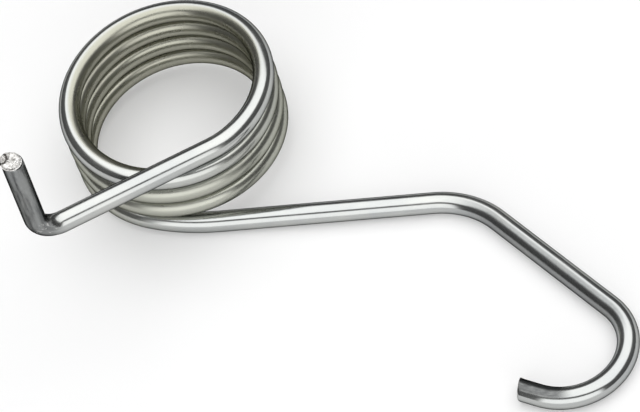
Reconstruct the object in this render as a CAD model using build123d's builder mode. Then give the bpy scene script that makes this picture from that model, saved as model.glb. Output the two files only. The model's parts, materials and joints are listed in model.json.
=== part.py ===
"""Torsion spring with a turned-up tail and a hooked arm, bent from one length of round wire.

The coil is wound left-handed about +Z. The arm leaves the foot of the coil along +X and lies
on the plane z = 0 with its hook. The tail leaves the head of the coil and turns up beside it.
The origin is on the coil's axis, level with the underside of the arm. Millimetres.
"""
from build123d import *
from math import asin, atan, cos, degrees, pi, radians, sin, tan
import os

# Wire
wire_radius = 2.0

# Coil, measured to the centre line of the wire, with a fine gap between its turns
coil_radius = 18.75
turn_gap = 0.35
coil_turns = 3.822

# Arm: the wire opens from the coil, levels out, runs straight, bends and ends in a hook
opening_radius = 40.5
opening_angle = 17.5
levelling_radius = 60.0
arm_length = 39.2
elbow_radius = 16.5
elbow_angle = 46.0
forearm_length = 28.4
hook_radius = 10.3
hook_angle = 72.0
hook_tip_radius = 11.4
hook_tip_angle = 85.5
hook_end_length = 3.0

# Tail: the wire closes in over the coil, runs straight and turns up at a tight corner
closing_radius = 15.6
closing_angle = 18.5
tail_arm_length = 29.6
corner_radius = 4.5
corner_angle = 90.0
tail_length = 16.1

# Sheared ends: the blade drags the last of the wire sideways and leaves a slanted face
tail_shear_length = 0.8
tail_shear_drag = 0.3
tail_drag_turn = -45.0
tail_shear_slant = 8.0
hook_shear_length = 0.9
hook_shear_drag = 0.2
hook_shear_slant = 12.0


def bend_end(start, heading, toward, radius, angle):
    """Return where a bend ends that leaves start along heading and turns toward a square direction."""
    turn = radians(angle)
    return start + heading * (radius * sin(turn)) + toward * (radius * (1 - cos(turn)))


def sheared_face(end, heading, drag, length, shift, slant):
    """Return the plane of a sheared face, shifted along drag and slanted about the line square to it."""
    hinge = heading.cross(drag)
    normal = heading.rotate(Axis((0, 0, 0), hinge), -slant)
    return Plane(origin=end + heading * length + drag * shift, x_dir=hinge, z_dir=normal)


# Angle of the foot of the coil, at which the opened wire heads exactly along +X
coil_pitch = 2 * wire_radius + turn_gap
helix_slope = atan(coil_pitch / (2 * pi * coil_radius))
opening = radians(opening_angle)
foot_angle = -90 - degrees(atan(tan(opening) / cos(helix_slope)))

# Height of the foot, from which the wire comes down to lie on the base plane
lead_slope = asin(sin(helix_slope) * cos(opening))
opening_drop = opening_radius * sin(opening) * sin(helix_slope)
levelling_drop = levelling_radius * (1 - cos(lead_slope))
foot_height = wire_radius + opening_drop + levelling_drop

with BuildPart() as spring_wire:
    with BuildLine() as centre_line:
        # Coil, from its foot up to its head
        coil = Helix(coil_pitch, coil_pitch * coil_turns, coil_radius, lefthand=True, mode=Mode.PRIVATE)
        coil = coil.rotate(Axis.Z, foot_angle).moved(Location((0, 0, foot_height)))
        add(coil)

        # Arm and hook, outward from the foot
        foot = coil @ 0
        foot_heading = (coil % 0) * -1
        foot_inward = Vector(-foot.X, -foot.Y, 0).normalized()
        opening_end = bend_end(foot, foot_heading, foot_inward, opening_radius, opening_angle)
        opening_arc = TangentArc(foot, opening_end, tangent=foot_heading)
        lead = opening_arc % 1
        lead_square = Vector(-lead.Z, 0, lead.X).normalized()
        levelling_end = bend_end(opening_arc @ 1, lead, lead_square, levelling_radius, degrees(lead_slope))
        levelling_arc = TangentArc(opening_arc @ 1, levelling_end, tangent=lead)
        arm = Line(levelling_arc @ 1, (levelling_arc @ 1) + Vector(arm_length, 0, 0))
        elbow = JernArc(arm @ 1, (1, 0, 0), elbow_radius, -elbow_angle)
        forearm = Line(elbow @ 1, (elbow @ 1) + (elbow % 1) * forearm_length)
        hook = JernArc(forearm @ 1, forearm % 1, hook_radius, -hook_angle)
        hook_tip = JernArc(hook @ 1, hook % 1, hook_tip_radius, -hook_tip_angle)
        hook_end = Line(hook_tip @ 1, (hook_tip @ 1) + (hook_tip % 1) * hook_end_length)

        # Tail, outward from the head
        head = coil @ 1
        head_heading = coil % 1
        head_inward = Vector(-head.X, -head.Y, 0).normalized()
        closing_end = bend_end(head, head_heading, head_inward, closing_radius, closing_angle)
        closing_arc = TangentArc(head, closing_end, tangent=head_heading)
        tail_heading = closing_arc % 1
        tail_arm = Line(closing_arc @ 1, (closing_arc @ 1) + tail_heading * tail_arm_length)
        tail_square = (Vector(0, 0, 1) - tail_heading * tail_heading.Z).normalized()
        corner_end = bend_end(tail_arm @ 1, tail_heading, tail_square, corner_radius, corner_angle)
        corner = TangentArc(tail_arm @ 1, corner_end, tangent=tail_heading)
        tail = Line(corner @ 1, (corner @ 1) + (corner % 1) * tail_length)

    # Round wire, swept along the centre line from the hook's end to the tail's end
    with BuildSketch(Plane(origin=hook_end @ 1, z_dir=hook_end % 1)) as wire_section:
        Circle(wire_radius)
    sweep(path=centre_line.line)

    # Sheared end of the tail, dragged outward and across the tail's own arm
    tail_top = tail % 1
    tail_drag = tail_heading.rotate(Axis((0, 0, 0), tail_top), tail_drag_turn)
    with BuildSketch(Plane(origin=tail @ 1, z_dir=tail_top)) as tail_round:
        Circle(wire_radius)
    with BuildSketch(sheared_face(tail @ 1, tail_top, tail_drag, tail_shear_length,
                                  tail_shear_drag, tail_shear_slant)) as tail_face:
        Circle(wire_radius)
    loft(sections=[tail_round.sketch, tail_face.sketch])

    # Sheared end of the hook, dragged toward the inside of the hook
    hook_heading = hook_end % 1
    hook_drag = Vector(hook_heading.Y, -hook_heading.X, 0)
    with BuildSketch(Plane(origin=hook_end @ 1, z_dir=hook_heading)) as hook_round:
        Circle(wire_radius)
    with BuildSketch(sheared_face(hook_end @ 1, hook_heading, hook_drag, hook_shear_length,
                                  hook_shear_drag, hook_shear_slant)) as hook_face:
        Circle(wire_radius)
    loft(sections=[hook_round.sketch, hook_face.sketch])

os.makedirs("parts", exist_ok=True)
spring_wire.part.label = "spring_wire"
export_step(spring_wire.part, "parts/spring_wire.step")
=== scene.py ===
import bmesh
import bpy
import json
from math import asin, atan, cos, pi, radians, sin, tan
from mathutils import Matrix, Vector


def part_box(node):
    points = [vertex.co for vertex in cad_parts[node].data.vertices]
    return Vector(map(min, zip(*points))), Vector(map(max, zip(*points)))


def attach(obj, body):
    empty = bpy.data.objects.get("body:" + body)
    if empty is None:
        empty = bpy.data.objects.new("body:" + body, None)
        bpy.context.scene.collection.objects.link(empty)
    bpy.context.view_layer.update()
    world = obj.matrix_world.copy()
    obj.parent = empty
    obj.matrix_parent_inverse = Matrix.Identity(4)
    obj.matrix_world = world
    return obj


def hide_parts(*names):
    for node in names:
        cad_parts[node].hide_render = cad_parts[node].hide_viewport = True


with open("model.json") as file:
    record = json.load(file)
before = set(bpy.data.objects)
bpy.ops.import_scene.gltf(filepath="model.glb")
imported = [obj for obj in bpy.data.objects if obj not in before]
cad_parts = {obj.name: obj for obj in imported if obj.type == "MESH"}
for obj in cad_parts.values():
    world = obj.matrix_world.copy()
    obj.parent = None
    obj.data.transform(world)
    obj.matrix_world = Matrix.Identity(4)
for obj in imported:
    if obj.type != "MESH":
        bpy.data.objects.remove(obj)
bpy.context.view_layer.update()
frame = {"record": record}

# ---------------------------------------------------------------------------------------------
# The wire. One length of 4 mm spring steel wire, wound cold into a left-hand coil and bent over
# pins at both ends: a tail that turns up, and an arm with an open hook. The frame gives the
# wire's radius and the tail's length from the tail's pin, and the coil's size and base plane.
# ---------------------------------------------------------------------------------------------
mounts = {mount["name"]: mount for mount in frame["record"]["mounts"]}
low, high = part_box("spring_wire")
wire_radius = mounts["tail_pin"]["dims"]["r_mm"] / 1000
tail_length = mounts["tail_pin"]["dims"]["length_mm"] / 1000
coil_radius = high[1] - wire_radius
base_height = low[2]

turn_gap = 0.00035
coil_pitch = 2 * wire_radius + turn_gap
coil_turns = 3.822
opening_radius, opening_angle = 0.0405, radians(17.5)
levelling_radius = 0.060
arm_length = 0.0392
elbow_radius, elbow_angle = 0.0165, radians(46)
forearm_length = 0.0284
hook_radius, hook_angle = 0.0103, radians(72)
hook_tip_radius, hook_tip_angle = 0.0114, radians(85.5)
hook_end_length = 0.0030
closing_radius, closing_angle = 0.0156, radians(18.5)
tail_arm_length = 0.0296
corner_radius, corner_angle = 0.0045, radians(90)

# Where the coil starts, so that the arm heads along +X on the base plane
helix_slope = atan(coil_pitch / (2 * pi * coil_radius))
foot_angle = -pi / 2 - atan(tan(opening_angle) / cos(helix_slope))
lead_slope = asin(sin(helix_slope) * cos(opening_angle))
opening_drop = opening_radius * sin(opening_angle) * sin(helix_slope)
levelling_drop = levelling_radius * (1 - cos(lead_slope))
foot_height = base_height + wire_radius + opening_drop + levelling_drop
foot = Vector((coil_radius * cos(foot_angle), coil_radius * sin(foot_angle), foot_height))
foot_inward = Vector((-cos(foot_angle), -sin(foot_angle), 0))
winding = Vector((sin(foot_angle) * cos(helix_slope), -cos(foot_angle) * cos(helix_slope),
                  sin(helix_slope)))

# The coil: one round section, turned about the axis and lifted by the pitch
ring_sides = 48
steps_per_turn = 96
bpy.ops.object.select_all(action="DESELECT")
bpy.ops.mesh.primitive_circle_add(vertices=ring_sides, radius=wire_radius, location=foot,
                                  rotation=winding.to_track_quat("Z", "Y").to_euler())
wire = bpy.context.object
wire.name = "bent_wire"
bpy.ops.object.transform_apply(location=True, rotation=True, scale=True)
winder = wire.modifiers.new("winding", "SCREW")
winder.axis = "Z"
winder.angle = -2 * pi * coil_turns
winder.screw_offset = coil_pitch * coil_turns
winder.steps = round(steps_per_turn * coil_turns)
winder.render_steps = winder.steps
winder.use_merge_vertices = False
winder.use_normal_calculate = False
bpy.ops.object.modifier_apply(modifier=winder.name)


def pick_ring(centre, heading):
    """Selects the open ring of the wire that lies round a point, square to the heading."""
    bpy.ops.object.mode_set(mode="OBJECT")
    mesh = bpy.context.object.data
    for flags in (mesh.polygons, mesh.edges, mesh.vertices):
        flags.foreach_set("select", [False] * len(flags))
    for vertex in mesh.vertices:
        offset = vertex.co - centre
        vertex.select = offset.length < 1.1 * wire_radius and abs(offset.dot(heading)) < 1e-5
    bpy.ops.object.mode_set(mode="EDIT")
    bpy.ops.mesh.select_mode(type="VERT")


class Feed:
    """The end of the wire as it is fed and bent: where it is and which way it heads."""

    def __init__(self, end, heading):
        self.end = end.copy()
        self.heading = heading.normalized()
        pick_ring(self.end, self.heading)

    def straight(self, length, step=0.0016):
        """Feeds a straight length."""
        count = max(1, round(length / step))
        move = self.heading * (length / count)
        for _ in range(count):
            bpy.ops.mesh.extrude_region_move(TRANSFORM_OT_translate={"value": move})
        self.end += self.heading * length

    def bend(self, radius, angle, toward, steps):
        """Bends the wire round a pin that stands on the side it turns toward."""
        toward = (toward - self.heading * toward.dot(self.heading)).normalized()
        pin = self.end + toward * radius
        axis = self.heading.cross(toward)
        bpy.ops.mesh.spin(steps=steps, angle=-angle, center=pin, axis=axis, use_normal_flip=False)
        turn = Matrix.Rotation(angle, 3, axis)
        self.end = pin + turn @ (self.end - pin)
        self.heading = (turn @ self.heading).normalized()


# The tail: from the head of the coil it closes in, runs over the turns below and turns up
head_turn = Matrix.Rotation(-2 * pi * coil_turns, 3, "Z")
head = head_turn @ foot + Vector((0, 0, coil_pitch * coil_turns))
bpy.ops.object.mode_set(mode="EDIT")
tail = Feed(head, head_turn @ winding)
tail.bend(closing_radius, closing_angle, head_turn @ foot_inward, 6)
tail.straight(tail_arm_length)
tail_arm_heading = tail.heading.copy()
tail.bend(corner_radius, corner_angle, Vector((0, 0, 1)), 30)
tail.straight(tail_length, 0.0008)

# The arm: from the foot of the coil it opens out, levels, bends at the elbow and ends in a hook
arm = Feed(foot, -winding)
arm.bend(opening_radius, opening_angle, foot_inward, 8)
arm.bend(levelling_radius, lead_slope, Vector((0, 0, 1)), 2)
arm.straight(arm_length)
arm.bend(elbow_radius, elbow_angle, arm.heading.cross(Vector((0, 0, 1))), 16)
arm.straight(forearm_length)
arm.bend(hook_radius, hook_angle, arm.heading.cross(Vector((0, 0, 1))), 20)
arm.bend(hook_tip_radius, hook_tip_angle, arm.heading.cross(Vector((0, 0, 1))), 24)
arm.straight(hook_end_length, 0.0005)


lip_height = 0.00014


def tear(feed, drag, length, shift, slant, lip, seed):
    """Shears the end of the wire: it is dragged over, slanted, and torn across with a ragged lip."""
    drag = (drag - feed.heading * drag.dot(feed.heading)).normalized()
    steps = 4
    for step in range(1, steps + 1):
        feed.bend(length / slant, slant / steps, -drag, 1)
        share = drag * (shift * (2 * step - 1) / steps ** 2)
        bpy.ops.transform.translate(value=share)
        feed.end += share
    bpy.ops.object.vertex_group_assign_new()
    torn_rings = ((0.93, 0.00003), (0.80, -0.00028), (0.60, -0.00006), (0.40, -0.00003), (0.20, 0.00002))
    scale = 1.0
    for size, depth in torn_rings:
        bpy.ops.mesh.extrude_region_move(TRANSFORM_OT_translate={"value": feed.heading * depth})
        bpy.ops.transform.resize(value=(size / scale,) * 3, center_override=feed.end)
        bpy.ops.transform.vertex_random(offset=0.00004, seed=seed + round(10 * size))
        bpy.ops.object.vertex_group_assign()
        scale = size
    bpy.ops.mesh.merge(type="CENTER")
    bpy.ops.object.vertex_group_assign()
    bpy.ops.object.mode_set(mode="OBJECT")
    group = wire.vertex_groups[-1]
    rim = feed.end + drag * wire_radius
    for vertex in wire.data.vertices:
        in_face = any(member.group == group.index for member in vertex.groups)
        vertex.select = in_face and (vertex.co - rim).length < lip
    bpy.ops.object.mode_set(mode="EDIT")
    bpy.ops.transform.translate(value=feed.heading * lip_height)
    bpy.ops.transform.vertex_random(offset=0.00008, seed=seed)
    bpy.ops.object.mode_set(mode="OBJECT")


# Both ends are cut by a blade that leaves a torn face and a lip on the far side
tail_drag = Matrix.Rotation(radians(-45), 3, tail.heading) @ tail_arm_heading
pick_ring(tail.end, tail.heading)
tear(tail, tail_drag, 0.0006, 0.0003, radians(8), 0.0016, 3)
pick_ring(arm.end, arm.heading)
tear(arm, Vector((arm.heading.y, -arm.heading.x, 0)), 0.0007, 0.0002, radians(12), 0.0010, 8)

# Every point is given its place in the straight wire before it was wound and bent: the length
# along it from the foot of the coil, and its place across it. Drawing marks follow these.
shape = bmesh.new()
shape.from_mesh(wire.data)
shape.verts.ensure_lookup_table()
straight_place = [None] * len(shape.verts)
across = winding.cross(foot_inward)
ring = [vertex for vertex in shape.verts
        if (vertex.co - foot).length < 1.1 * wire_radius and abs((vertex.co - foot).dot(winding)) < 1e-5]
for vertex in ring:
    offset = vertex.co - foot
    straight_place[vertex.index] = Vector((0, offset.dot(foot_inward), offset.dot(across)))
for side in (1, -1):
    front, along = ring, 0.0
    while front:
        reached = {}
        for vertex in front:
            for edge in vertex.link_edges:
                other = edge.other_vert(vertex)
                ahead = (other.co - vertex.co).dot(winding) * side > 0 or along != 0.0
                if straight_place[other.index] is None and other not in reached and ahead:
                    reached[other] = vertex
        if reached:
            along += side * sum((new.co - old.co).length for new, old in reached.items()) / len(reached)
        for new, old in reached.items():
            place = straight_place[old.index]
            straight_place[new.index] = Vector((along, place.y, place.z))
        front = list(reached)
shape.free()
drawn = wire.data.attributes.new("drawn", "FLOAT_VECTOR", "POINT")
drawn.data.foreach_set("vector", [value for place in straight_place for value in (place or Vector())])
torn = wire.data.attributes.new("torn", "FLOAT", "POINT")
for vertex in wire.data.vertices:
    torn.data[vertex.index].value = 1.0 if vertex.groups else 0.0
wire.vertex_groups.clear()

bpy.ops.object.mode_set(mode="EDIT")
bpy.ops.mesh.select_all(action="SELECT")
bpy.ops.mesh.normals_make_consistent(inside=False)
bpy.ops.object.mode_set(mode="OBJECT")
bpy.ops.object.shade_smooth_by_angle(angle=radians(50))

# The way each point faces is kept with the wire, for the painted dark reflections that lie on one side
# of it
facing = wire.data.attributes.new("facing", "FLOAT_VECTOR", "POINT")
facing.data.foreach_set("vector", [value for vertex in wire.data.vertices for value in vertex.normal])

# The plating: bright zinc with a thin yellow-green passivation inside the coil and on its lower
# turns; inside the coil it is also darker, as painted shade. The wire keeps fine drawing lines
# along it, and has painted dark reflections, rougher and speckled, on its tail, forearm and hook.
class Socket:
    """Wraps a node's output socket, so that shader maths reads as plain expressions."""

    def __init__(self, tree, source):
        self.tree = tree
        self.source = source

    def node(self, kind, settings=None, out=0, **inputs):
        """Adds any node: settings first, then the values or links of its sockets by name or number."""
        added = self.tree.nodes.new(kind)
        for name, value in (settings or {}).items():
            setattr(added, name, value)
        for name, value in inputs.items():
            key = int(name[1:]) if name[0] == "i" and name[1:].isdigit() else name.replace("_", " ")
            target = added.inputs[key]
            if isinstance(value, Socket):
                self.tree.links.new(value.source, target)
            else:
                target.default_value = value
        return Socket(self.tree, added.outputs[out])

    def beside(self, name):
        """Another output of the same node."""
        return Socket(self.tree, self.source.node.outputs[name])

    def maths(self, operation, *values):
        """Adds one Math node on this socket and up to two more values."""
        given = {"i%d" % (place + 1): value for place, value in enumerate(values)}
        return self.node("ShaderNodeMath", {"operation": operation}, i0=self, **given)

    def __add__(self, other):
        return self.maths("ADD", other)

    def __radd__(self, other):
        return self.maths("ADD", other)

    def __sub__(self, other):
        return self.maths("SUBTRACT", other)

    def __rsub__(self, other):
        return (self * -1.0).maths("ADD", other)

    def __mul__(self, other):
        return self.maths("MULTIPLY", other)

    def __rmul__(self, other):
        return self.maths("MULTIPLY", other)

    def __truediv__(self, other):
        return self.maths("DIVIDE", other)

    def between(self, low, high):
        """Rises smoothly from 0 at low to 1 at high."""
        return self.node("ShaderNodeMapRange", {"interpolation_type": "SMOOTHSTEP"},
                         Value=self, From_Min=low, From_Max=high)

    def either(self, other):
        """The larger of two masks."""
        return self.maths("MAXIMUM", other)

    def tint(self, low, high):
        """Mixes two colours, the second where this mask is 1."""
        return self.node("ShaderNodeMix", {"data_type": "RGBA"}, out=2, i0=self, i6=low, i7=high)


def rgb(red, green, blue):
    return (red, green, blue, 1.0)


zinc = bpy.data.materials.new("zinc_plated_wire")
zinc.use_nodes = True
skin = zinc.node_tree.nodes["Principled BSDF"]
zinc_nodes = Socket(zinc.node_tree, skin.outputs[0])
place = zinc_nodes.node("ShaderNodeAttribute", {"attribute_name": "drawn"}, out=1)
side = zinc_nodes.node("ShaderNodeAttribute", {"attribute_name": "facing"}, out=1)
torn_mask = zinc_nodes.node("ShaderNodeAttribute", {"attribute_name": "torn"}, out=2)
body = zinc_nodes.node("ShaderNodeTexCoord", out=3)
along = place.node("ShaderNodeSeparateXYZ", Vector=place)


def noise(where, scale, stretch=(1, 1, 1), detail=3.0, rough=0.5):
    """A noise value in metres of wire or of space, stretched along chosen directions."""
    spread = where.node("ShaderNodeMapping", Vector=where, Scale=stretch)
    return where.node("ShaderNodeTexNoise", Vector=spread, Scale=scale, Detail=detail, Roughness=rough)


# Round the coil's axis: how far a point is from it, and so which side of the wire it is on
point = body.node("ShaderNodeSeparateXYZ", Vector=body)
from_axis = (point * point + point.beside("Y") * point.beside("Y")).maths("SQRT")
coil_end = 2 * pi * coil_radius * coil_turns / cos(helix_slope)
in_coil = along.between(-0.004, 0.010) * (1.0 - along.between(coil_end - 0.022, coil_end - 0.002))
outward = from_axis.between(coil_radius - 0.35 * wire_radius, coil_radius + 0.1 * wire_radius)
inside = (1.0 - outward) * in_coil

upper_turns = along.between(0.68 * coil_end, 0.80 * coil_end)
satin = (1.0 - inside) * in_coil * (1.0 - upper_turns)

cloud = noise(place, 260, (0.35, 1, 1), 4.0, 0.6)
patch = noise(body, 70, (1, 1, 1), 3.0, 0.55)
lines = noise(place, 2600, (0.012, 1, 1), 3.0, 0.6)
speck = noise(place, 2300, (0.5, 1, 1), 2.0, 0.7)

# Painted dark reflections: the corner and its tail, the inner flank of the forearm and the hook's end
tail_start = coil_end + closing_radius * closing_angle + tail_arm_length
on_tail = along.between(tail_start - 0.0005, tail_start + 0.0035)
arm_end = -(opening_radius * opening_angle + levelling_radius * lead_slope + arm_length)
elbow_out = arm_end - elbow_radius * elbow_angle
hook_in = elbow_out - forearm_length
hook_out = hook_in - hook_radius * hook_angle - hook_tip_radius * hook_tip_angle - hook_end_length
flank = side.node("ShaderNodeVectorMath", {"operation": "DOT_PRODUCT"}, out=1, i0=side,
                  i1=(-0.6085, -0.62, 0.62))
past_elbow = 1.0 - along.between(elbow_out - 0.001, elbow_out + 0.012)
on_forearm = past_elbow * along.between(hook_in - 0.009, hook_in - 0.001)
painted_dark_flank = flank.between(0.50, 0.74) * on_forearm
on_hook_end = 1.0 - along.between(hook_out + 0.0060, hook_out + 0.0095)
upper_side = side.node("ShaderNodeVectorMath", {"operation": "DOT_PRODUCT"}, out=1, i0=side,
                       i1=(0.10, 0.82, 0.56))
painted_dark_hook_end = on_hook_end * upper_side.between(-0.15, 0.25)
streaks = noise(place, 800, (0.10, 1, 1), 3.0, 0.6).between(0.36, 0.66)
painted_dark_hook_end = painted_dark_hook_end * (0.85 + 0.15 * streaks)
painted_dark_tail = on_tail * (0.46 + 0.48 * streaks)
painted_dark_reflections = (painted_dark_flank * 0.52).either(painted_dark_hook_end).either(painted_dark_tail)
broken = (speck * 0.9 + cloud * 0.9).between(0.55, 1.10)
past_corner = along.between(tail_start + 0.006, tail_start + 0.008)
on_corner = along.between(tail_start - 0.0010, tail_start + 0.0005) * (1.0 - past_corner)
chips = on_corner * speck.between(0.58, 0.66)
rough_and_painted_dark = painted_dark_reflections * (0.78 + 0.22 * broken)

plate = cloud.between(0.35, 0.7).tint(rgb(0.44, 0.452, 0.445), rgb(0.50, 0.508, 0.49))
plate = (patch.between(0.45, 0.75) * 0.35).tint(plate, rgb(0.36, 0.38, 0.40))
# Inside the coil: a yellow-green passivation tint, and darker there as painted shade
plate = (inside * 0.9).tint(plate, rgb(0.36, 0.357, 0.292))
plate = (satin * 0.8).tint(plate, rgb(0.40, 0.405, 0.345))
# Painted dark reflections: near-black base colour on the tail, the forearm's inner flank and the hook's
# end
plate = rough_and_painted_dark.tint(plate, rgb(0.05, 0.052, 0.054))
plate = chips.tint(plate, rgb(0.50, 0.50, 0.49))
fracture = noise(body, 1900, (1, 1, 1), 4.0, 0.7)
lip_point = tail.end + tail_drag * (0.95 * wire_radius)
from_lip = body.node("ShaderNodeVectorMath", {"operation": "DISTANCE"}, out=1, i0=body, i1=lip_point)
from_lip = from_lip + 0.0012 * fracture
# Painted shade on the torn faces: a dark split line near the tail's lip and dark crack lines across them
painted_split_shade = from_lip.between(0.0014, 0.0016) * (1.0 - from_lip.between(0.0018, 0.0021))
painted_crack_shade = 1.0 - (noise(body, 420, (1, 1, 1), 2.0, 0.6) - 0.5).maths("ABSOLUTE").between(0.004, 0.022)
grains = fracture.between(0.32, 0.62).tint(rgb(0.30, 0.29, 0.27), rgb(0.90, 0.89, 0.87))
fracture_face = (painted_crack_shade * 0.7).either(painted_split_shade).tint(grains, rgb(0.06, 0.055, 0.05))
plate = torn_mask.between(0.4, 0.9).tint(plate, fracture_face)
gloss = 0.14 + 0.09 * cloud.between(0.4, 0.75) + 0.12 * inside.either(satin)
gloss = gloss + 0.18 * rough_and_painted_dark + 0.30 * torn_mask
height = lines * 0.10 + speck * (0.10 + 0.5 * rough_and_painted_dark) + fracture * (1.6 * torn_mask)
grain = zinc_nodes.node("ShaderNodeBump", Height=height, Strength=0.35, Distance=0.00003)
skin.inputs["Metallic"].default_value = 1.0
skin.inputs["Specular Tint"].default_value = rgb(0.02, 0.02, 0.02)
zinc.node_tree.links.new(plate.source, skin.inputs["Base Color"])
zinc.node_tree.links.new(gloss.source, skin.inputs["Roughness"])
zinc.node_tree.links.new(grain.source, skin.inputs["Normal"])
wire.data.materials.clear()
wire.data.materials.append(zinc)
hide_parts("spring_wire")
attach(wire, "root")

# ---------------------------------------------------------------------------------------------
# The table: a wide sheet of white paper that the spring lies on, level with its lowest point.
# ---------------------------------------------------------------------------------------------
bpy.ops.object.select_all(action="DESELECT")
bpy.ops.mesh.primitive_plane_add(size=8, location=(0, 0, base_height - 0.00005))
table = bpy.context.object
table.name = "white_table"
paper = bpy.data.materials.new("white_paper")
paper.use_nodes = True
sheet = paper.node_tree.nodes["Principled BSDF"]
sheet.inputs["Base Color"].default_value = rgb(0.72, 0.72, 0.72)
sheet.inputs["Roughness"].default_value = 0.9
sheet.inputs["Specular IOR Level"].default_value = 0.1
paper_nodes = Socket(paper.node_tree, sheet.outputs[0])
seen = paper_nodes.node("ShaderNodeLightPath", out=0)
glossy_ray = seen.beside("Is Glossy Ray")
passing_ray = seen.beside("Is Transmission Ray")
shown = (seen + glossy_ray + passing_ray).maths("MINIMUM", 1.0)
paper.node_tree.links.new((shown * 0.22).source, sheet.inputs["Emission Color"])
sheet.inputs["Emission Strength"].default_value = 1.0
table.data.materials.append(paper)

# ---------------------------------------------------------------------------------------------
# The light: a soft panel overhead and a soft panel in front, in a studio that is darker at the
# sides, which draws the dark edges on bright wire. The camera sees only white beyond the table,
# and the wire mirrors that white near the horizon.
# ---------------------------------------------------------------------------------------------
world = bpy.data.worlds.new("studio")
bpy.context.scene.world = world
world.use_nodes = True
backdrop = world.node_tree.nodes["Background"]
studio_nodes = Socket(world.node_tree, backdrop.outputs[0])
way = studio_nodes.node("ShaderNodeTexCoord", out=0)
east = way.node("ShaderNodeSeparateXYZ", Vector=way)
north = east.beside("Y")
up = east.beside("Z")
rise = up.maths("MAXIMUM", 0.02)
across_top = east / rise
along_top = north / rise
top_panel = (across_top.between(-0.80, -0.55) * (1.0 - across_top.between(0.85, 1.15))
             * along_top.between(-0.60, -0.44) * (1.0 - along_top.between(0.95, 1.25))
             * up.between(0.0, 0.1))
ahead = (north * -1.0).maths("MAXIMUM", 0.02)
across_front = east / ahead
above_front = up / ahead
front_panel = (across_front.between(-0.85, -0.55) * (1.0 - across_front.between(0.75, 1.10))
               * (1.0 - above_front.between(0.92, 1.15)) * north.between(-0.05, -0.20))
side_light = 0.10 + 0.08 * up.between(-0.2, 1.0)
panel_light = 1.78
studio = side_light + panel_light * top_panel.either(front_panel * 0.95)
horizon = 1.0 - up.maths("ABSOLUTE").between(0.02, 0.06)
seen = studio_nodes.node("ShaderNodeLightPath", out=0)
glossy_ray = seen.beside("Is Glossy Ray")
passing_ray = seen.beside("Is Transmission Ray")
shown = (seen + glossy_ray * horizon + passing_ray).maths("MINIMUM", 1.0)
light = shown.node("ShaderNodeMix", {"data_type": "FLOAT"}, i0=shown, i2=studio, i3=1.0)
world.node_tree.links.new(light.source, backdrop.inputs["Color"])
backdrop.inputs["Strength"].default_value = 1.0

# ---------------------------------------------------------------------------------------------
# The camera: looking down on the spring from the arm's side, turned a little to its left.
# ---------------------------------------------------------------------------------------------
bpy.ops.object.camera_add(location=(0.112612, -0.311145, 0.412012))
camera = bpy.context.object
view = Vector((-0.168089, 0.573030, -0.802112))
top = Vector((0.084176, 0.819061, 0.567498))
camera.rotation_euler = Matrix((view.cross(top), top, -view)).transposed().to_euler()
camera.data.lens = 155.8
camera.data.sensor_width = 36
camera.data.clip_start = 0.01
bpy.context.scene.camera = camera

scene = bpy.context.scene
scene.view_settings.view_transform = "Standard"
